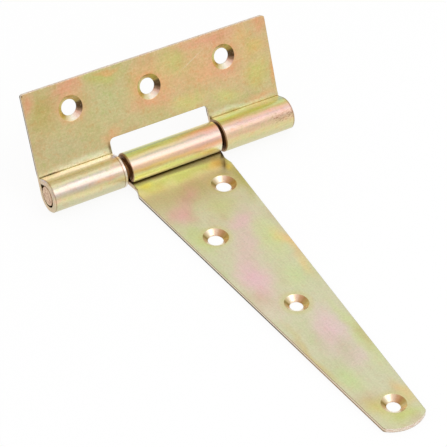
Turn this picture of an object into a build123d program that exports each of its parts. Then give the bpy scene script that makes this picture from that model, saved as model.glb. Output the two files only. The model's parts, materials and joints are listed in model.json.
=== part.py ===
from build123d import *
import os
from math import cos, hypot, radians, sin

# A pressed steel gate hinge: a butt plate with two rolled knuckles, a tapered strap with one, and a pin.
# Millimetres. Each leaf is drawn with its own eye's axis as X, lying along +Y, its face up, its back down.

# Sheet and pin
sheet = 2.0
edge_break = 0.4
pin_diameter = 7.3
pin_chamfer = 0.15

# Eyes: clearance round the pin, and where each eye's axis stands off the pin's (out to the strap, up)
plate_clearance = 0.45
strap_clearance = 0.17
plate_off_pin = (0.25, -0.12)
strap_off_pin = (0.05, 0.08)

# Butt plate
plate_width = 100.0
plate_step = 0.25
plate_reach = 37.3
plate_corner = 1.0
plate_bend = (5.5, 9.0)
plate_curl_angle = 0.0
plate_seam = 0.2
notch_reach = 11.4
notch_corner = 1.8
side_clearance = 1.3
side_play = 0.4

# Strap: half widths, and distances from its eye's axis
knuckle_half = 19.1
waist_half = 18.3
waist_reach = 7.8
shoulder_half = 19.25
shoulder_reach = 10.8
shoulder_round = 1.2
tip_half = 8.25
tip_rise = 3.0
tip_corner = 1.6
strap_reach = 153.6
strap_step = 0.73
strap_bend = (4.7, 11.2)
strap_curl_angle = -27.0
strap_seam = 0.3
lip_corner = 1.0
lip_margin = 0.46

# Screw holes: through diameter, countersink diameter, and the straight land left at the back
large_screw = (6.0, 9.6)
middle_screw = (5.6, 9.4)
small_screw = (4.8, 8.8)
land = 0.5
plate_hole_pitch = 31.5
plate_hole_shift = -1.0
outer_hole_reach = 27.1
middle_hole_reach = 25.3
tip_hole_inset = 10.8
strap_holes = [(-10.6, 20.0, middle_screw), (7.0, 43.9, middle_screw),
               (0.6, 86.7, small_screw), (-1.0, strap_reach - tip_hole_inset, small_screw)]

# Pose as made: how far the plate is folded up from lying flat in line with the strap
fold_angle = 67.7

# How far apart two places may be and still count as the same, where edges are picked
near = 0.05

# Worked out from the sizes above
plate_bore = pin_diameter / 2 + plate_clearance
strap_bore = pin_diameter / 2 + strap_clearance
plate_back = -plate_bore - sheet - plate_step
strap_back = -strap_bore - sheet - strap_step
notch_width = 2 * (knuckle_half + side_clearance)
heel = strap_bend[1] + 1.0
deep = 3 * (plate_bore + sheet)
tip_shoulder = strap_reach - tip_rise
plate_holes = [(plate_hole_shift - plate_hole_pitch, outer_hole_reach, large_screw),
               (plate_hole_shift, middle_hole_reach, large_screw),
               (plate_hole_shift + plate_hole_pitch, outer_hole_reach, large_screw)]


def polar(radius, angle):
    """Point of a leaf's section on a circle about its eye's axis."""
    return Vector(radius * cos(radians(angle)), radius * sin(radians(angle)))


def lip_step(bore, curl_angle, seam):
    """Step along the curl's straight lip, from where it leaves the round to a seam's width off the leaf."""
    drop = bore - seam + (bore + sheet) * sin(radians(curl_angle))
    return Vector(drop * sin(radians(curl_angle)) / cos(radians(curl_angle)), -drop)


def joggle(bend, low, high):
    """The two arcs that take a leaf smoothly from one height to the other."""
    start, end = bend
    middle = ((start + end) / 2, (low + high) / 2)
    TangentArc((start, low), middle, tangent=(1, 0))
    TangentArc((end, high), middle, tangent=(-1, 0))


def leaf_section(reach, bend, bore, back, curl_angle, seam):
    """Section of a leaf: flat sheet, a slight joggle, the curl round the pin, the curl's straight lip."""
    start, end = bend
    barrel = bore + sheet
    face = back + sheet
    half_way = (curl_angle - 90) / 2 + 180
    to_end = lip_step(bore, curl_angle, seam)
    outer = polar(barrel, curl_angle)
    inner = polar(bore, curl_angle)
    with BuildSketch() as section:
        with BuildLine():
            Line((0, -bore), (start, -bore))
            joggle(bend, -bore, face)
            Polyline((end, face), (reach, face), (reach, back), (end, back))
            joggle(bend, -barrel, back)
            Line((start, -barrel), (0, -barrel))
            ThreePointArc((0, -barrel), polar(barrel, half_way), outer)
            Polyline(outer, outer + to_end, inner + to_end, inner)
            ThreePointArc(inner, polar(bore, half_way), (0, -bore))
        make_face()
    return section.sketch


def extruded(section, width):
    """The section drawn out along the pin's axis, half to each side."""
    return extrude(Plane.YZ * section, width / 2, both=True)


def on_outer_side(point, bore):
    """True on the sheet's outer side: the leaf's back, or the outside of the curl and its lip."""
    barrel = bore + sheet
    if point.Z < -barrel + near:
        return True
    above_leaf = point.Z > -bore + near
    beside_barrel = point.Y < barrel + near
    return above_leaf and beside_barrel and hypot(point.Y, point.Z) > barrel - near


def outer_rim(leaf, bore):
    """Edges that run round the sheet's outer side, which the press tools drew over and broke."""
    outer_faces = [f for f in leaf.faces() if all(on_outer_side(e @ 0.5, bore) for e in f.edges())]
    edges = [e for f in outer_faces for e in f.edges()]
    return ShapeList(e for e in edges if sum(e.is_same(other) for other in edges) == 1)


def countersunk(leaf, back, holes):
    """The leaf with its screw holes: straight at the back, opening out to its face."""
    cone_height = sheet - land
    for across, out, (through, head) in holes:
        hole = Pos(across, out, back) * Cylinder(through / 2, deep)
        cone_place = Pos(across, out, back + sheet - cone_height / 2)
        leaf = leaf - hole - cone_place * Cone(through / 2, head / 2, cone_height)
    return leaf


def butt_plate():
    """Rectangular leaf with a knuckle at each end and the notch for the strap's knuckle between them."""
    section = leaf_section(plate_reach, plate_bend, plate_bore, plate_back, plate_curl_angle, plate_seam)
    leaf = extruded(section, plate_width)
    corners = leaf.edges().filter_by(Axis.Z).filter_by_position(Axis.Y, plate_reach - near, plate_reach + near)
    leaf = fillet(corners, plate_corner)
    slot_length = notch_reach + deep
    slot = Pos(0, notch_reach - slot_length / 2) * RectangleRounded(notch_width, slot_length, notch_corner)
    leaf = leaf - extrude(slot, deep, both=True)
    leaf = chamfer(outer_rim(leaf, plate_bore), edge_break)
    return countersunk(leaf, plate_back, plate_holes)


def strap_plan():
    """Plan of the strap: knuckle, waist, shoulders, long taper and round tip."""
    lip_inside = polar(strap_bore, strap_curl_angle) + lip_step(strap_bore, strap_curl_angle, strap_seam)
    knuckle_reach = lip_inside.X - lip_margin
    right = [(knuckle_half, -deep), (knuckle_half, knuckle_reach), (waist_half, waist_reach),
             (shoulder_half, shoulder_reach), (tip_half, tip_shoulder)]
    left = [(-x, y) for x, y in reversed(right)]
    with BuildSketch() as plan:
        with BuildLine():
            Polyline(*right)
            ThreePointArc(right[-1], (0, strap_reach), left[0])
            Polyline(*left, right[0])
        make_face()
        neck = plan.vertices().filter_by_position(Axis.Y, knuckle_reach - near, shoulder_reach + near)
        fillet(neck, shoulder_round)
        tip = plan.vertices().filter_by_position(Axis.Y, tip_shoulder - near, tip_shoulder + near)
        fillet(tip, tip_corner)
    return plan.sketch


def is_lip_corner(edge):
    """True for the two edges across the sheet's thickness at the end of the strap's curl."""
    to_end = lip_step(strap_bore, strap_curl_angle, strap_seam)
    lip_end = polar(strap_bore + sheet / 2, strap_curl_angle) + to_end
    middle = edge @ 0.5
    return abs(middle.X) > waist_half / 2 and hypot(middle.Y - lip_end.X, middle.Z - lip_end.Y) < near


def strap():
    """Tapered leaf with one knuckle: a wide rolled strip cut to the strap's plan."""
    blank_width = 3 * shoulder_half
    blank_reach = strap_reach + sheet
    section = leaf_section(blank_reach, strap_bend, strap_bore, strap_back, strap_curl_angle, strap_seam)
    leaf = extruded(section, blank_width)
    leaf = leaf & extrude(strap_plan(), deep, both=True)
    leaf = fillet([e for e in leaf.edges() if is_lip_corner(e)], lip_corner)
    leaf = chamfer(outer_rim(leaf, strap_bore), edge_break)
    return countersunk(leaf, strap_back, strap_holes)


def pin():
    """Plain pin as long as the plate is wide, its ends flush with the outer knuckles."""
    body = Rot(0, 90, 0) * Cylinder(pin_diameter / 2, plate_width)
    return chamfer(body.edges().filter_by(GeomType.CIRCLE), pin_chamfer)


def main():
    """Lays the strap on its back along -Y, with its heel at the origin and the plate folded up."""
    strap_place = Pos(0, heel, -strap_back)
    pin_place = strap_place * Pos(-side_play, strap_off_pin[0], -strap_off_pin[1])
    plate_place = pin_place * Pos(0, -plate_off_pin[0], plate_off_pin[1])
    nodes = {
        "butt_plate": plate_place * Rot(fold_angle, 0, 0) * butt_plate(),
        "strap": strap_place * Rot(0, 0, 180) * strap(),
        "pin": pin_place * pin(),
    }
    os.makedirs("parts", exist_ok=True)
    for name, solid in nodes.items():
        export_step(solid, f"parts/{name}.step")


main()
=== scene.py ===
import bpy
import json
import math
from mathutils import Matrix, Vector
from types import SimpleNamespace


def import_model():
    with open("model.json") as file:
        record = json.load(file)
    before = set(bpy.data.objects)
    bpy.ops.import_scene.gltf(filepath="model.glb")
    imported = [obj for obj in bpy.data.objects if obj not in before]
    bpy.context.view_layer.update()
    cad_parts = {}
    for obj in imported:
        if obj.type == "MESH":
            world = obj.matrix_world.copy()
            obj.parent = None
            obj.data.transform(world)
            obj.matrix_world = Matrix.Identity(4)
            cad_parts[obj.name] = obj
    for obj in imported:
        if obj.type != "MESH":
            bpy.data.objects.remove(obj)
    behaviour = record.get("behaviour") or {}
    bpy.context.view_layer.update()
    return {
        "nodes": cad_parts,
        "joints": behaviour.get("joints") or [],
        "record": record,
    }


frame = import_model()

# The frame's own places: the pin's axis, the plate's fold, the screw holes
MM = 0.001
PIN = Vector(frame["joints"][0]["pos_m"])
MOUNTS = {m["name"]: m for m in frame["record"]["mounts"]}
PLATE_BACK = Vector(MOUNTS["plate_back"]["axis"])
FOLD = math.atan2(PLATE_BACK.y, -PLATE_BACK.z)

# Camera: place and axes from the pin's middle, in metres, and the lens in millimetres
CAMERA_PLACE = Vector((-0.31353, -0.54012, 0.49953))
CAMERA_RIGHT = Vector((0.857446, -0.514158, 0.020680))
CAMERA_DOWN = Vector((-0.320434, -0.564962, -0.760355))
SENSOR = 36.0
LENS = 177.18
CLIP_START = 0.05

# Light levels: 1 is a white that renders as white
WHITE = (1.0, 1.0, 1.0, 1.0)
SKY_LOW = 0.74
SKY_HIGH = 0.92
SKY_TOP = 0.7
SOFTBOX_LEVEL = 1.4
SOFTBOX_PLACE = Vector((0.15, -0.315, 0.45))
SOFTBOX_ALONG = 0.26
SOFTBOX_ACROSS = 0.34
FLOOR_SIZE = 3.0
FLOOR_LIFT = 0.9

# Shading of broken edges and grain: radius and depths in metres, strengths from 0 to 1
EDGE_ROUND = 0.0003
EDGE_SAMPLES = 4
GRAIN_DEPTH = 0.00002
GRAIN_STRENGTH = 0.25
PIN_GRAIN_DEPTH = 0.0001
PIN_GRAIN_STRENGTH = 0.5

# From here on: millimetres on a leaf, degrees round a curl, noise scales per millimetre, and colours in
# sRGB 0 to 255. A pair of numbers is where a fade begins and where it is full.

# Organic edges of the patches, and how soft a patch's own edge is
WOBBLE_SCALE = 0.06
WOBBLE_REACH = 11.0
PATCH_EDGE = (1.15, 0.0)

# The curl: how its top is told from the leaf, and where its film ends
CURL_ABOVE_LEAF = (0.05, 0.15)
CURL_BEHIND_EYE = (0.5, -0.5)
CURL_LIP = (0.05, -0.1)

# Bands round the curl: how they waver, the angles' range, and where the two sets change over
BAND_WAVER_SCALE = 0.12
BAND_WAVER = 16.0
TURN_RANGE = (280.0, -80.0)
BAND_CHANGE = (-6.0, 14.0)

# The shade under the strap's lip, broader to the right
LIP_SHADE_SLOPE = -0.07
LIP_SHADE = (7.4, 6.3)
LIP_SHADE_TINT = (164, 140, 108)

# Slow drift of the film between pinker and greener
DRIFT_STRETCH = (1.0, 0.7, 1.0)
DRIFT_SCALE = 0.07
DRIFT_PINK = (0.48, 0.80)
DRIFT_PINK_TINT = (246, 228, 222)
DRIFT_GREEN = (0.52, 0.20)
DRIFT_GREEN_TINT = (240, 248, 230)

# Thin lines where each knuckle's broken edge begins: a painted highlight along the left knuckle's inner
# end, and lines of painted shade at the knuckle ends
RIM_HIGHLIGHT_START = (-22.1, -21.8)
RIM_HIGHLIGHT_END = (-20.7, -20.9)
RIM_HIGHLIGHT_TINT = (255, 244, 232)
RIM_LINE = (0.32, 0.08)
RIM_AMOUNT = 0.55
RIM_TINT = (150, 104, 72)

# Scuffs near the right knuckle's end
SCUFF_ACROSS_START = (37.0, 43.0)
SCUFF_ACROSS_END = (49.6, 48.4)
SCUFF_TURN_START = (58.0, 66.0)
SCUFF_TURN_END = (104.0, 84.0)
SCUFF_STRETCH = (0.45, 1.0, 1.0)
SCUFF_SCALE = 2.4
SCUFF_SPECKS = (0.48, 0.64)
SCUFF_TINT = (150, 92, 62)

# Sheared faces: how they are told by the surface's direction, and how strongly they show
END_FACING = (0.6, 0.85)
STEEP_FACING = (0.75, 0.4)
TIP_FACING = (0.55, 0.85)
# Painted shade on the knuckle ends that face a gap between knuckles: which way they face, how far across,
# how strongly
GAP_FACING = (0.3, 0.6)
GAP_ACROSS = (23.0, 22.0)
GAP_SHADE_AMOUNT = 0.8
CUT_AMOUNT = 0.9
BEYOND_CURL = 1.0

# Colours of the sheared faces, torn from the first to the second. Depths are below the leaf's face. The
# low tints on the long sides and on the tip are painted shade
TORN_STRETCH = (1.0, 1.0, 3.0)
TORN_SCALE = 1.6
CUT_TINTS = ((196, 164, 130), (246, 228, 204))
SIDE_TINTS = ((220, 190, 158), (255, 250, 236))
SIDE_TOP_DEPTH = (0.45, 0.15)
SIDE_TOP_TINT = (150, 116, 78)
SIDE_LOW_DEPTH = (0.8, 1.1)
SIDE_LOW_SHADE_TINTS = ((52, 40, 26), (150, 118, 88))
SIDE_LOW_CHANGE = (85.0, 120.0)
TIP_TORN = (0.40, 0.60)
TIP_TINTS = ((224, 190, 172), (255, 248, 236))
TIP_LOW_DEPTH = (1.35, 1.6)
TIP_LOW_SHADE_TINT = (170, 140, 112)

# Countersinks: the cone's depth and rim, and a halo of film round each
HEAD_RADIUS = 4.8
SINK_DEPTH = (0.02, 0.12)
SINK_RIM = (HEAD_RADIUS + 0.4, HEAD_RADIUS + 0.2)
HALO_RIM = (HEAD_RADIUS + 2.2, HEAD_RADIUS)
HALO_AMOUNT = 0.4

# Mottling, rolling lines and fine grain
MOTTLE_SCALE = 0.45
MOTTLE_WARM = (0.46, 0.80)
MOTTLE_GREEN = (0.54, 0.20)
LINE_SCALE = 1.0
LINE_SHARE = 0.30
GRAIN_SCALE = 1.5
GRAIN_SHARE = 0.70
DARK_GRAIN = (0.34, 0.64)
DARK_GRAIN_TINT = (110, 95, 50)
PALE_GRAIN = (0.50, 0.68)
PALE_GRAIN_TINT = (255, 242, 210)
ROUGH_LOW = 0.22
ROUGH_GRAIN = 0.16
ROUGH_CUT = 0.16

# The pin
PIN_SPECKLE_SCALE = 1.1
PIN_SPECKLES = (0.35, 0.65)
PIN_END_TINTS = ((176, 136, 108), (232, 204, 172))
# The pin's side: browner, and darker as painted shade where it shows in the gaps between knuckles
PIN_SIDE_TINT = (150, 112, 74)
PIN_ROUGH_LOW = 0.32
PIN_ROUGH_GRAIN = 0.2

# Patches and marks: across, out, half sizes, turn in degrees, colour, amount
PLATE_BLOTCHES = [
    (22, 27, 40, 18, 0, (251, 204, 154), 0.9),
    (-43, 29, 7, 11, 0, (213, 204, 120), 0.7),
    (-20, 35, 10, 4, 0, (220, 220, 122), 0.6),
    (-19, 25, 9, 10, 0, (220, 220, 162), 0.7),
    (-40, 14, 13, 5, 0, (220, 210, 164), 0.6),
    (-48.5, 34, 4, 7, 0, (246, 182, 142), 0.9),
    (-33, 34, 8, 5, 0, (254, 190, 154), 0.95),
    (-33, 27, 10, 9, 0, (242, 200, 148), 0.6),
    (-19, 13, 5, 3, 0, (254, 204, 152), 0.8),
    (-17, 37, 7, 1.5, 0, (252, 196, 130), 0.8),
    (-2, 24.5, 12, 11, 0, (255, 200, 138), 0.95),
    (-5, 19, 7, 4, 0, (255, 194, 156), 0.85),
    (2, 19, 7, 5, 0, (255, 198, 156), 0.8),
    (9, 32, 8, 7, 0, (231, 219, 142), 0.85),
    (12, 15, 9, 4, 0, (239, 226, 148), 0.8),
    (21, 23, 8, 5, 0, (255, 198, 150), 0.8),
    (26, 36, 20, 4, 0, (255, 190, 154), 0.85),
    (30, 26, 8, 8, 0, (255, 192, 158), 0.9),
    (39, 33, 5, 5, 0, (250, 208, 146), 0.8),
    (47.5, 35, 4, 5, 0, (255, 190, 146), 0.8),
    (43, 27, 5, 5, 0, (242, 212, 128), 0.7),
    (43, 17, 7, 7, 0, (230, 221, 134), 0.85),
    (28, 12, 8, 4, 0, (232, 226, 146), 0.85),
    (49.5, 16, 2, 8, 0, (252, 190, 128), 0.8),
    (42, 8.5, 10, 2.5, 0, (255, 208, 156), 0.9),
    # Painted highlight along the strip above each knuckle's seam, here and in the next row
    (-30, 7.4, 26, 2.2, 0, (252, 250, 206), 0.95),
    (32, 7.0, 20, 1.8, 0, (255, 248, 208), 0.95),
]
PLATE_MARKS = [
    # Painted shade along the seam under the left knuckle
    (-46.0, 6.2, 6.5, 0.45, 0, (70, 46, 26), 0.9),
    (-21.3, 8.3, 0.8, 3.0, 0, (120, 80, 54), 0.8),
    (-50.3, 37.0, 0.7, 0.8, 0, (80, 60, 48), 0.9),
    # Painted shade where the right knuckle's seam meets its gap
    (20.4, 6.4, 0.9, 1.0, 0, (96, 68, 42), 0.8),
    (17.0, 29.5, 7.0, 0.28, 27, (255, 240, 210), 0.6),
]
STRAP_BLOTCHES = [
    (0, 18, 30, 10, 0, (212, 207, 162), 0.9),
    # The yellow-green band along the neck's bend: film tint with the bend's painted reflection
    (0, 8.5, 60, 4.2, 0, (211, 212, 134), 0.98),
    (13, 9.5, 6, 4.5, 0, (234, 196, 108), 0.8),
    (-6, 20, 5, 12, 39, (230, 194, 184), 0.9),
    (-12.5, 28.5, 8, 8, 0, (240, 192, 190), 0.9),
    (4, 30, 7, 8, 0, (217, 220, 158), 0.8),
    (16.5, 22, 3, 14, 4, (204, 200, 124), 0.8),
    (4, 45, 7, 22, 30, (234, 213, 198), 0.85),
    (4.5, 41, 8, 5.5, 0, (243, 208, 205), 0.85),
    (-13, 44, 6, 10, 0, (219, 228, 162), 0.9),
    (1.5, 53, 6, 9, 25, (240, 210, 202), 0.65),
    (-6, 68, 7, 19, 12, (248, 207, 212), 0.98),
    (9.5, 54, 6, 14, 12, (224, 231, 168), 0.85),
    (6, 74, 7, 12, 0, (223, 231, 176), 0.85),
    (12.2, 54.5, 3.2, 6, 0, (242, 226, 148), 0.7),
    (14.5, 58, 3, 8, 0, (250, 212, 150), 0.9),
    (12.5, 70, 3, 14, 4, (244, 222, 160), 0.8),
    (-11, 86, 5, 12, 0, (236, 224, 200), 0.7),
    (2.5, 105, 9, 20, 5, (240, 219, 213), 0.9),
    (1, 103, 6.5, 13, 10, (246, 211, 212), 0.75),
    (3, 118, 5.5, 9, 0, (240, 214, 208), 0.7),
    (9.5, 110, 3, 24, 3, (221, 230, 164), 0.85),
    (-5, 127, 5.5, 8, 0, (217, 230, 168), 0.85),
    (4, 130, 5, 10, 0, (224, 224, 188), 0.6),
    (-10, 112, 2, 22, -4, (226, 206, 146), 0.7),
    (7, 139, 4, 7, 0, (242, 216, 154), 0.8),
    (-6, 142, 4, 8, 0, (230, 223, 142), 0.8),
    (1, 149, 9, 5, 0, (217, 229, 144), 0.85),
]
STRAP_MARKS = [
    (-14.6, 7.9, 3.6, 2.0, 0, (232, 226, 104), 0.7),
    (15.0, 9.2, 3.0, 3.0, 0, (206, 168, 92), 0.8),
    # Painted highlight on the bent right shoulder
    (17.0, 12.4, 1.9, 3.2, 20, (240, 226, 118), 0.85),
    # Painted shade in the crease at the right shoulder
    (16.6, 10.4, 0.5, 4.0, 28, (130, 100, 52), 0.65),
]

# Patches on the plate's knuckles: across, angle, half sizes, turn, colour, amount
PLATE_CURL_PATCHES = [
    (-23.5, 52, 6, 26, 0, (246, 204, 190), 0.6),
    (-22.5, 27, 4, 12, 0, (238, 196, 144), 0.6),
    (-28.5, 81, 7, 9, 0, (252, 202, 166), 0.75),
    (-49.0, 98, 4, 14, 0, (246, 208, 188), 0.7),
    (-36.0, 56, 10, 9, 0, (232, 212, 212), 0.7),
    # A painted highlight beside the gap at the right knuckle's inner end
    (21.5, 54, 6, 9, 0, (255, 240, 226), 0.8),
    (29.0, 87, 9, 8, 0, (250, 206, 172), 0.6),
    (41.0, 42, 6, 9, 0, (255, 204, 188), 0.7),
]

# Bands round the knuckles: angle from straight out over the top, and the colour there. Each band's colour
# is the film's tint with painted highlight, painted reflection and painted shade by angle
PLATE_BANDS = [
    (-45, (238, 226, 200)), (-7, (231, 219, 234)), (7, (202, 198, 206)), (22, (224, 216, 184)),
    (32, (223, 208, 156)), (42, (244, 234, 192)), (53, (212, 204, 187)), (72, (208, 193, 184)),
    (96, (243, 229, 178)), (122, (214, 209, 174)), (190, (215, 206, 155)),
]
PLATE_FAR_BANDS = [
    (-45, (232, 222, 180)), (0, (197, 209, 171)), (22, (225, 230, 162)), (32, (230, 207, 144)),
    (43, (255, 214, 187)), (53, (238, 203, 196)), (70, (210, 180, 160)), (84, (248, 216, 178)),
    (102, (231, 217, 163)), (122, (222, 215, 168)), (190, (215, 205, 152)),
]
STRAP_BANDS = [
    (-40, (250, 250, 216)), (-12, (255, 255, 223)), (6, (255, 255, 206)), (20, (251, 218, 143)),
    (32, (244, 206, 170)), (50, (222, 194, 182)), (60, (214, 202, 180)), (70, (246, 228, 174)),
    (80, (226, 219, 133)), (90, (216, 240, 170)), (101, (200, 217, 177)), (120, (236, 232, 160)),
    (190, (216, 210, 164)),
]
STRAP_FAR_BANDS = [
    (-40, (238, 230, 214)), (-5, (252, 248, 216)), (20, (255, 196, 154)), (38, (232, 193, 180)),
    (60, (222, 198, 188)), (71, (253, 203, 187)), (82, (251, 194, 156)), (99, (212, 200, 168)),
    (112, (244, 228, 168)), (190, (216, 206, 160)),
]

# Countersinks: degrees round the hole from across towards out, and the colour there, a painted highlight
# on the cone's one side and painted shade on the other
PLATE_SINK_SHADING = [
    (-180, (220, 208, 112)), (-140, (230, 208, 116)), (-112, (250, 234, 190)), (-85, (255, 246, 230)),
    (-58, (255, 230, 216)), (-42, (230, 184, 164)), (-26, (150, 112, 90)), (-10, (84, 62, 44)),
    (14, (90, 70, 46)), (32, (184, 162, 100)), (52, (216, 200, 134)), (110, (226, 206, 134)),
    (180, (220, 208, 112)),
]
STRAP_SINK_SHADING = [
    (-180, (230, 214, 176)), (-162, (206, 186, 132)), (-140, (160, 138, 76)), (-122, (220, 198, 150)),
    (-100, (255, 238, 214)), (-78, (252, 224, 200)), (-58, (238, 204, 178)), (-34, (208, 160, 120)),
    (-14, (184, 140, 92)), (8, (190, 160, 96)), (32, (224, 204, 144)), (62, (252, 240, 204)),
    (120, (252, 244, 214)), (180, (230, 214, 176)),
]

# The two leaves: their places on the object, then their finish and its painted light and shade
PLATE = SimpleNamespace(
    name="plate_finish_and_painted_light",
    holes="plate_hole",
    eye=PIN + Vector((0, -0.25, -0.12)) * MM,
    angle=FOLD,
    flip=1.0,
    bore=4.1,
    curl_end=6.2,
    face=-4.35,
    base=(228, 212, 158),
    blotches=PLATE_BLOTCHES,
    marks=PLATE_MARKS,
    bands=PLATE_BANDS,
    far_bands=PLATE_FAR_BANDS,
    curl_patches=PLATE_CURL_PATCHES,
    sinks=PLATE_SINK_SHADING,
    halo=(252, 196, 146),
    rims=(49.05, -22.15, -49.9),
    rim_highlight=0.7,
    gap_shade_tint=(156, 116, 80),
    lip_shade=0.0,
    scuffs=0.55,
    mottles=((255, 232, 214), (236, 248, 222)),
    streak=(0.07, 1.9, 1.9),
    dark_grain=0.17,
    pale_grain=0.14,
)
STRAP = SimpleNamespace(
    name="strap_finish_and_painted_light",
    holes="strap_hole",
    eye=PIN + Vector((0, -0.05, 0.08)) * MM,
    angle=0.0,
    flip=-1.0,
    bore=3.82,
    curl_end=5.95,
    face=-4.55,
    base=(227, 224, 188),
    blotches=STRAP_BLOTCHES,
    marks=STRAP_MARKS,
    bands=STRAP_BANDS,
    far_bands=STRAP_FAR_BANDS,
    curl_patches=(),
    sinks=STRAP_SINK_SHADING,
    halo=(222, 214, 140),
    rims=(-18.6,),
    rim_highlight=0.0,
    gap_shade_tint=(158, 116, 76),
    lip_shade=0.55,
    scuffs=0.0,
    mottles=((255, 246, 242), (248, 254, 242)),
    streak=(1.9, 0.07, 1.9),
    dark_grain=0.16,
    pale_grain=0.04,
)


def srgb(red, green, blue):
    """Linear colour of an sRGB colour given in 0 to 255, with alpha 1."""
    linear = []
    for value in (red, green, blue):
        share = value / 255
        linear.append(share / 12.92 if share <= 0.04045 else ((share + 0.055) / 1.055) ** 2.4)
    return (*linear, 1.0)


class Graph:
    """Builds one material's nodes. Each call adds a node and returns its output socket."""

    def __init__(self, name):
        self.material = bpy.data.materials.new(name)
        self.material.use_nodes = True
        self.nodes = self.material.node_tree.nodes
        self.links = self.material.node_tree.links
        self.shader = self.nodes["Principled BSDF"]

    def put(self, value, socket):
        """Links an output socket, or sets a plain value."""
        if isinstance(value, bpy.types.NodeSocket):
            self.links.new(value, socket)
        else:
            socket.default_value = value

    def math(self, operation, first, second=0.0, third=0.0):
        node = self.nodes.new("ShaderNodeMath")
        node.operation = operation
        for value, socket in zip((first, second, third), node.inputs):
            self.put(value, socket)
        return node.outputs[0]

    def times(self, first, *others):
        """Product of sockets and plain values."""
        product = first
        for other in others:
            product = self.math("MULTIPLY", product, other)
        return product

    def size_of(self, value):
        """The value without its sign."""
        return self.math("ABSOLUTE", value)

    def vector(self, operation, first, second=(0.0, 0.0, 0.0), scale=None):
        node = self.nodes.new("ShaderNodeVectorMath")
        node.operation = operation
        self.put(first, node.inputs[0])
        self.put(second, node.inputs[1])
        if scale is not None:
            self.put(scale, node.inputs["Scale"])
        return node.outputs["Value"] if operation == "LENGTH" else node.outputs[0]

    def rotated(self, vector, axis, angle, centre=(0.0, 0.0, 0.0)):
        """The vector turned back by an angle, in radians, about an axis through the centre."""
        node = self.nodes.new("ShaderNodeVectorRotate")
        node.rotation_type = axis
        node.inputs["Angle"].default_value = -angle
        node.inputs["Center"].default_value = centre
        self.put(vector, node.inputs["Vector"])
        return node.outputs[0]

    def split(self, vector):
        node = self.nodes.new("ShaderNodeSeparateXYZ")
        self.put(vector, node.inputs[0])
        return node.outputs[0], node.outputs[1], node.outputs[2]

    def join(self, x, y):
        """A vector in a plane."""
        node = self.nodes.new("ShaderNodeCombineXYZ")
        self.put(x, node.inputs[0])
        self.put(y, node.inputs[1])
        return node.outputs[0]

    def angle_of(self, up, along):
        """Angle in degrees of a place in a plane."""
        return self.times(self.math("ARCTAN2", up, along), math.degrees(1))

    def fade(self, value, start, end):
        """0 at start, 1 at end, smooth between; start may be the larger."""
        node = self.nodes.new("ShaderNodeMapRange")
        node.interpolation_type = "SMOOTHSTEP"
        self.put(value, node.inputs["Value"])
        rising = start < end
        node.inputs["From Min"].default_value = min(start, end)
        node.inputs["From Max"].default_value = max(start, end)
        node.inputs["To Min"].default_value = 0.0 if rising else 1.0
        node.inputs["To Max"].default_value = 1.0 if rising else 0.0
        return node.outputs["Result"]

    def window(self, value, start, end):
        """1 between two fades, 0 outside them."""
        return self.times(self.fade(value, *start), self.fade(value, *end))

    def mix(self, amount, first, second, blend="MIX"):
        """The first colour blended towards the second. The node takes them at inputs 6 and 7."""
        node = self.nodes.new("ShaderNodeMix")
        node.data_type = "RGBA"
        node.blend_type = blend
        self.put(amount, node.inputs[0])
        self.put(first, node.inputs[6])
        self.put(second, node.inputs[7])
        return node.outputs[2]

    def tint(self, amount, colour, tint, blend="MIX"):
        """The colour blended towards an sRGB tint."""
        return self.mix(amount, colour, srgb(*tint), blend)

    def between(self, amount, tints):
        """From one sRGB tint to another."""
        return self.mix(amount, srgb(*tints[0]), srgb(*tints[1]))

    def noise(self, coords, scale, detail=2.0, roughness=0.5, colour=False):
        node = self.nodes.new("ShaderNodeTexNoise")
        self.put(coords, node.inputs["Vector"])
        node.inputs["Scale"].default_value = scale
        node.inputs["Detail"].default_value = detail
        node.inputs["Roughness"].default_value = roughness
        return node.outputs["Color" if colour else "Fac"]

    def ramp(self, value, stops):
        """Colour by value, from (value, sRGB tint) stops in rising order."""
        low, high = stops[0][0], stops[-1][0]
        node = self.nodes.new("ShaderNodeValToRGB")
        node.color_ramp.interpolation = "EASE"
        self.put(self.math("DIVIDE", self.math("SUBTRACT", value, low), high - low), node.inputs[0])
        elements = node.color_ramp.elements
        elements.remove(elements[-1])
        elements[0].position = 0.0
        elements[0].color = srgb(*stops[0][1])
        for place, tint in stops[1:]:
            element = elements.new((place - low) / (high - low))
            element.color = srgb(*tint)
        return node.outputs["Color"]

    def bump(self, height, strength, distance):
        """The surface's normal with rounded edges and a relief."""
        rounded = self.nodes.new("ShaderNodeBevel")
        rounded.samples = EDGE_SAMPLES
        rounded.inputs["Radius"].default_value = EDGE_ROUND
        node = self.nodes.new("ShaderNodeBump")
        self.put(rounded.outputs["Normal"], node.inputs["Normal"])
        node.inputs["Strength"].default_value = strength
        node.inputs["Distance"].default_value = distance
        self.put(height, node.inputs["Height"])
        return node.outputs["Normal"]

    def metal(self, colour, roughness, normal):
        """Sets the shader to bare metal under its film."""
        inputs = self.shader.inputs
        inputs["Metallic"].default_value = 1.0
        self.put(colour, inputs["Base Color"])
        self.put(roughness, inputs["Roughness"])
        self.put(normal, inputs["Normal"])
        return self.material


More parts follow.
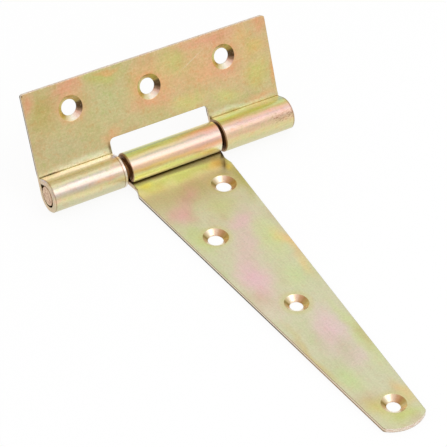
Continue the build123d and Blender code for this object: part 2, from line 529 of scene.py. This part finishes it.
class Leaf(Graph):
    """One leaf's material. Places on it are in millimetres: across, out from the eye's axis, height."""

    def __init__(self, look):
        super().__init__(look.name)
        self.look = look
        source = self.nodes.new("ShaderNodeTexCoord")
        place = self.rotated(source.outputs["Object"], "X_AXIS", look.angle, look.eye)
        place = self.vector("SUBTRACT", place, tuple(look.eye))
        place = self.vector("MULTIPLY", place, (1.0, look.flip, 1.0))
        facing = self.rotated(source.outputs["Normal"], "X_AXIS", look.angle)
        self.coords = self.vector("SCALE", place, scale=1 / MM)
        self.across, self.out, self.height = self.split(self.coords)
        facing = self.split(facing)
        self.facing_across, self.facing_out, self.facing_up = [self.size_of(part) for part in facing]
        self.flat = self.join(self.across, self.out)
        self.wave()
        self.find_curl()

    def wave(self):
        """Places that wander a little, which give every patch an organic edge."""
        wobble = self.noise(self.coords, WOBBLE_SCALE, detail=3.0, colour=True)
        wobble = self.vector("SUBTRACT", wobble, (0.5, 0.5, 0.5))
        wavy = self.vector("ADD", self.coords, self.vector("SCALE", wobble, scale=WOBBLE_REACH))
        self.wavy_across, wavy_out, _ = self.split(wavy)
        self.wavy_flat = self.join(self.wavy_across, wavy_out)

    def find_curl(self):
        """How far a place is on the curl or beyond it, and its angle round the curl, a little wavered."""
        above, below = CURL_ABOVE_LEAF
        over_leaf = self.fade(self.height, above - self.look.bore, below - self.look.bore)
        on_barrel = self.math("MAXIMUM", over_leaf, self.fade(self.out, *CURL_BEHIND_EYE))
        end = self.look.curl_end
        self.on_curl = self.times(self.fade(self.out, end + CURL_LIP[0], end + CURL_LIP[1]), on_barrel)
        self.beyond_curl = self.fade(self.out, end, end + BEYOND_CURL)
        waver = self.math("SUBTRACT", self.noise(self.coords, BAND_WAVER_SCALE), 0.5)
        angle = self.math("ADD", self.angle_of(self.height, self.out), self.times(waver, BAND_WAVER))
        self.turn = self.math("WRAP", angle, *TURN_RANGE)

    def stretched(self, stretch):
        """Places for a noise that is drawn out where the factor is small."""
        return self.vector("MULTIPLY", self.coords, stretch)

    def depth(self, start, end):
        """A fade by depth below the leaf's face."""
        return self.fade(self.height, self.look.face - start, self.look.face - end)

    def patch(self, plane, place, half_sizes, turn=0.0):
        """1 in the middle of a soft oval patch, 0 outside it."""
        moved = self.vector("SUBTRACT", plane, (*place, 0.0))
        turned = self.rotated(moved, "Z_AXIS", math.radians(turn))
        scaled = self.vector("MULTIPLY", turned, (1 / half_sizes[0], 1 / half_sizes[1], 0.0))
        return self.fade(self.vector("LENGTH", scaled), *PATCH_EDGE)

    def patches(self, plane, colour, rows):
        """Lays soft oval patches over a colour. A row: place, half sizes, turn, tint, amount."""
        for along, out, half_along, half_out, turn, tint, amount in rows:
            mask = self.patch(plane, (along, out), (half_along, half_out), turn)
            colour = self.tint(self.times(mask, amount), colour, tint)
        return colour


def flat_film_and_painted_light(leaf):
    """The flat sheet's colour: film patches and small marks along its edges, some of them painted
    highlights on bends and painted shade in the seams and the crease, the painted shade under the lip,
    and the film's slow drift.
    """
    look = leaf.look
    colour = leaf.patches(leaf.wavy_flat, srgb(*look.base), look.blotches)
    colour = leaf.patches(leaf.flat, colour, look.marks)
    if look.lip_shade:
        under_lip = leaf.math("MULTIPLY_ADD", leaf.across, LIP_SHADE_SLOPE, leaf.out)
        under_lip = leaf.times(leaf.fade(under_lip, *LIP_SHADE), look.lip_shade)
        colour = leaf.tint(under_lip, colour, LIP_SHADE_TINT)
    drift = leaf.noise(leaf.stretched(DRIFT_STRETCH), DRIFT_SCALE, detail=3.0, roughness=0.55)
    colour = leaf.tint(leaf.fade(drift, *DRIFT_PINK), colour, DRIFT_PINK_TINT, "MULTIPLY")
    return leaf.tint(leaf.fade(drift, *DRIFT_GREEN), colour, DRIFT_GREEN_TINT, "MULTIPLY")


def curl_film_and_painted_light(leaf):
    """The knuckle's colour: lengthwise bands of film tint with painted highlight, reflection and shade,
    two sets that change over along it, and patches.
    """
    look = leaf.look
    near = leaf.ramp(leaf.turn, look.bands)
    far = leaf.ramp(leaf.turn, look.far_bands)
    colour = leaf.mix(leaf.fade(leaf.wavy_across, *BAND_CHANGE), near, far)
    return leaf.patches(leaf.join(leaf.wavy_across, leaf.turn), colour, look.curl_patches)


def with_rims(leaf, colour):
    """Adds the painted highlight and the lines of painted shade where each knuckle's broken edge begins.
    """
    look = leaf.look
    if look.rim_highlight:
        pale = leaf.window(leaf.across, RIM_HIGHLIGHT_START, RIM_HIGHLIGHT_END)
        colour = leaf.tint(leaf.times(pale, leaf.on_curl, look.rim_highlight), colour, RIM_HIGHLIGHT_TINT)
    for rim in look.rims:
        from_rim = leaf.size_of(leaf.math("SUBTRACT", leaf.across, rim))
        line = leaf.times(leaf.fade(from_rim, *RIM_LINE), leaf.on_curl, RIM_AMOUNT)
        colour = leaf.tint(line, colour, RIM_TINT)
    return colour


def with_scuffs(leaf, colour):
    """Adds the scuffs near the right knuckle's end."""
    if not leaf.look.scuffs:
        return colour
    along = leaf.window(leaf.across, SCUFF_ACROSS_START, SCUFF_ACROSS_END)
    around = leaf.window(leaf.turn, SCUFF_TURN_START, SCUFF_TURN_END)
    specks = leaf.fade(leaf.noise(leaf.stretched(SCUFF_STRETCH), SCUFF_SCALE), *SCUFF_SPECKS)
    return leaf.tint(leaf.times(along, around, specks, leaf.look.scuffs), colour, SCUFF_TINT)


def cut_faces_and_painted_shade(leaf):
    """Colour of the sheared faces: knuckle ends, the leaf's far end with painted shade low on it, its
    long sides with a brown line along the top and painted shade along the bottom.
    """
    torn = leaf.noise(leaf.stretched(TORN_STRETCH), TORN_SCALE, detail=3.0)
    tip = leaf.times(leaf.beyond_curl, leaf.fade(leaf.facing_out, *TIP_FACING))
    side = leaf.math("SUBTRACT", leaf.beyond_curl, tip)
    tip_colour = leaf.between(leaf.fade(torn, *TIP_TORN), TIP_TINTS)
    tip_colour = leaf.tint(leaf.depth(*TIP_LOW_DEPTH), tip_colour, TIP_LOW_SHADE_TINT)
    colour = leaf.mix(tip, leaf.between(torn, CUT_TINTS), tip_colour)
    colour = leaf.mix(side, colour, leaf.between(torn, SIDE_TINTS))
    colour = leaf.tint(leaf.times(side, leaf.depth(*SIDE_TOP_DEPTH)), colour, SIDE_TOP_TINT)
    low_shade_line = leaf.between(leaf.fade(leaf.out, *SIDE_LOW_CHANGE), SIDE_LOW_SHADE_TINTS)
    return leaf.mix(leaf.times(side, leaf.depth(*SIDE_LOW_DEPTH)), colour, low_shade_line)


def leaf_holes(look):
    """Across and out, in millimetres, of the leaf's screw holes."""
    back = Matrix.Rotation(-look.angle, 3, "X")
    places = []
    for name, mount in MOUNTS.items():
        if name.startswith(look.holes):
            local = back @ (Vector(mount["pos_m"]) - look.eye) / MM
            places.append((local.x, look.flip * local.y))
    return places


def with_countersinks(leaf, colour):
    """Adds each screw hole's halo of film and its cone, with painted shade on one side and a painted
    highlight on the other.
    """
    sunk = leaf.depth(*SINK_DEPTH)
    for hole_across, hole_out in leaf_holes(leaf.look):
        aside = leaf.vector("SUBTRACT", leaf.flat, (hole_across, hole_out, 0.0))
        aside_across, aside_out, _ = leaf.split(aside)
        # The cone's colour by its side: painted highlight and painted shade
        cone = leaf.ramp(leaf.angle_of(aside_out, aside_across), leaf.look.sinks)
        radius = leaf.vector("LENGTH", aside)
        halo = leaf.times(leaf.fade(radius, *HALO_RIM), HALO_AMOUNT)
        colour = leaf.tint(halo, colour, leaf.look.halo)
        colour = leaf.mix(leaf.times(leaf.fade(radius, *SINK_RIM), sunk), colour, cone)
    return colour


def with_grain(leaf, colour):
    """Adds mottling, rolling lines and fine grain. Returns the colour and the grain."""
    look = leaf.look
    warm_mottle, green_mottle = look.mottles
    mottle = leaf.noise(leaf.coords, MOTTLE_SCALE, detail=4.0, roughness=0.7)
    colour = leaf.tint(leaf.fade(mottle, *MOTTLE_WARM), colour, warm_mottle, "MULTIPLY")
    colour = leaf.tint(leaf.fade(mottle, *MOTTLE_GREEN), colour, green_mottle, "MULTIPLY")
    lines = leaf.noise(leaf.stretched(look.streak), LINE_SCALE, detail=4.0, roughness=0.65)
    grain = leaf.noise(leaf.coords, GRAIN_SCALE, detail=4.0, roughness=0.75)
    fine = leaf.math("ADD", leaf.times(lines, LINE_SHARE), leaf.times(grain, GRAIN_SHARE))
    darker = leaf.tint(look.dark_grain, colour, DARK_GRAIN_TINT)
    colour = leaf.mix(leaf.fade(fine, *DARK_GRAIN), darker, colour)
    off_curl = leaf.math("SUBTRACT", 1.0, leaf.on_curl)
    pale = leaf.times(leaf.fade(grain, *PALE_GRAIN), look.pale_grain, off_curl)
    return leaf.tint(pale, colour, PALE_GRAIN_TINT), fine


def leaf_material(look):
    """Yellow passivated zinc on one leaf, with painted highlights and painted shade: patches on the flat,
    lengthwise bands round the knuckle.
    """
    leaf = Leaf(look)
    colour = leaf.mix(leaf.on_curl, flat_film_and_painted_light(leaf), curl_film_and_painted_light(leaf))
    colour = with_scuffs(leaf, with_rims(leaf, colour))
    end_on = leaf.fade(leaf.facing_across, *END_FACING)
    steep = leaf.times(leaf.fade(leaf.facing_up, *STEEP_FACING), leaf.beyond_curl)
    cut = leaf.math("MAXIMUM", end_on, steep)
    colour = leaf.mix(leaf.times(cut, CUT_AMOUNT), colour, cut_faces_and_painted_shade(leaf))
    # Painted shade on the knuckle ends in the gaps
    gap_shade = leaf.times(leaf.fade(leaf.facing_across, *GAP_FACING), leaf.on_curl)
    gap_shade = leaf.times(gap_shade, leaf.fade(leaf.size_of(leaf.across), *GAP_ACROSS), GAP_SHADE_AMOUNT)
    colour = leaf.tint(gap_shade, colour, look.gap_shade_tint)
    colour, fine = with_grain(leaf, with_countersinks(leaf, colour))
    roughness = leaf.math("MULTIPLY_ADD", fine, ROUGH_GRAIN, ROUGH_LOW)
    roughness = leaf.math("MULTIPLY_ADD", cut, ROUGH_CUT, roughness)
    return leaf.metal(colour, roughness, leaf.bump(fine, GRAIN_STRENGTH, GRAIN_DEPTH))


def pin_material():
    """The pin: dull cut ends, browner and darker along its sides, the darkening a painted shade where
    they show in the gaps.
    """
    graph = Graph("pin_finish_and_painted_shade")
    source = graph.nodes.new("ShaderNodeTexCoord")
    place = graph.vector("SUBTRACT", source.outputs["Object"], tuple(PIN))
    coords = graph.vector("SCALE", place, scale=1 / MM)
    facing_across = graph.size_of(graph.split(source.outputs["Normal"])[0])
    speckle = graph.noise(coords, PIN_SPECKLE_SCALE, detail=4.0, roughness=0.7)
    end_colour = graph.between(graph.fade(speckle, *PIN_SPECKLES), PIN_END_TINTS)
    colour = graph.mix(graph.fade(facing_across, *END_FACING), srgb(*PIN_SIDE_TINT), end_colour)
    roughness = graph.math("MULTIPLY_ADD", speckle, PIN_ROUGH_GRAIN, PIN_ROUGH_LOW)
    return graph.metal(colour, roughness, graph.bump(speckle, PIN_GRAIN_STRENGTH, PIN_GRAIN_DEPTH))


def dress():
    """Gives each CAD node its finish with its painted light and shade."""
    finishes_and_painted_light = {
        "butt_plate": leaf_material(PLATE),
        "strap": leaf_material(STRAP),
        "pin": pin_material(),
    }
    for node, material in finishes_and_painted_light.items():
        for slot in frame["nodes"][node].material_slots:
            slot.material = material


def floor():
    """Pale floor: white to the camera and in reflections, darkened a little by the hinge's shadow."""
    bpy.ops.mesh.primitive_plane_add(size=FLOOR_SIZE, location=(0, 0, 0))
    plane = bpy.context.object
    plane.name = "floor"
    graph = Graph("floor_white")
    nodes, links = graph.nodes, graph.links
    nodes.remove(graph.shader)
    diffuse = nodes.new("ShaderNodeBsdfDiffuse")
    diffuse.inputs["Color"].default_value = WHITE
    glow = nodes.new("ShaderNodeEmission")
    path = nodes.new("ShaderNodeLightPath")
    seen = graph.math("MAXIMUM", path.outputs["Is Camera Ray"], path.outputs["Is Glossy Ray"])
    mix = nodes.new("ShaderNodeMixShader")
    graph.put(graph.times(seen, FLOOR_LIFT), mix.inputs[0])
    links.new(diffuse.outputs[0], mix.inputs[1])
    links.new(glow.outputs[0], mix.inputs[2])
    links.new(mix.outputs[0], nodes["Material Output"].inputs["Surface"])
    plane.data.materials.append(graph.material)


def world():
    """Even studio surround, a little brighter overhead than at the horizon."""
    scene_world = bpy.data.worlds.new("studio")
    scene_world.use_nodes = True
    bpy.context.scene.world = scene_world
    nodes = scene_world.node_tree.nodes
    links = scene_world.node_tree.links
    coords = nodes.new("ShaderNodeTexCoord")
    split = nodes.new("ShaderNodeSeparateXYZ")
    links.new(coords.outputs["Generated"], split.inputs[0])
    level = nodes.new("ShaderNodeMapRange")
    level.inputs["From Min"].default_value = 0.0
    level.inputs["From Max"].default_value = SKY_TOP
    level.inputs["To Min"].default_value = SKY_LOW
    level.inputs["To Max"].default_value = SKY_HIGH
    links.new(split.outputs["Z"], level.inputs["Value"])
    path = nodes.new("ShaderNodeLightPath")
    shown = nodes.new("ShaderNodeMath")
    shown.operation = "MAXIMUM"
    links.new(level.outputs["Result"], shown.inputs[0])
    links.new(path.outputs["Is Camera Ray"], shown.inputs[1])
    links.new(shown.outputs[0], nodes["Background"].inputs["Strength"])
    nodes["Background"].inputs["Color"].default_value = WHITE


def softbox():
    """One broad lamp above and in front, which draws the pale band along the knuckles."""
    data = bpy.data.lights.new("softbox", "AREA")
    data.shape = "RECTANGLE"
    data.size = SOFTBOX_ALONG
    data.size_y = SOFTBOX_ACROSS
    data.energy = SOFTBOX_LEVEL * math.pi * SOFTBOX_ALONG * SOFTBOX_ACROSS
    lamp = bpy.data.objects.new("softbox", data)
    bpy.context.scene.collection.objects.link(lamp)
    lamp.location = PIN + SOFTBOX_PLACE
    lamp.rotation_euler = SOFTBOX_PLACE.to_track_quat("Z", "Y").to_euler()


def camera():
    """The photograph's view, for a square picture."""
    data = bpy.data.cameras.new("camera")
    data.lens = LENS
    data.sensor_width = SENSOR
    data.sensor_fit = "HORIZONTAL"
    data.clip_start = CLIP_START
    eye = bpy.data.objects.new("camera", data)
    bpy.context.scene.collection.objects.link(eye)
    up = -CAMERA_DOWN
    backward = CAMERA_RIGHT.cross(up)
    turn = Matrix((CAMERA_RIGHT, up, backward)).transposed()
    eye.matrix_world = Matrix.Translation(PIN + CAMERA_PLACE) @ turn.to_4x4()
    bpy.context.scene.camera = eye


dress()
floor()
world()
softbox()
camera()
bpy.context.scene.view_settings.view_transform = "Standard"
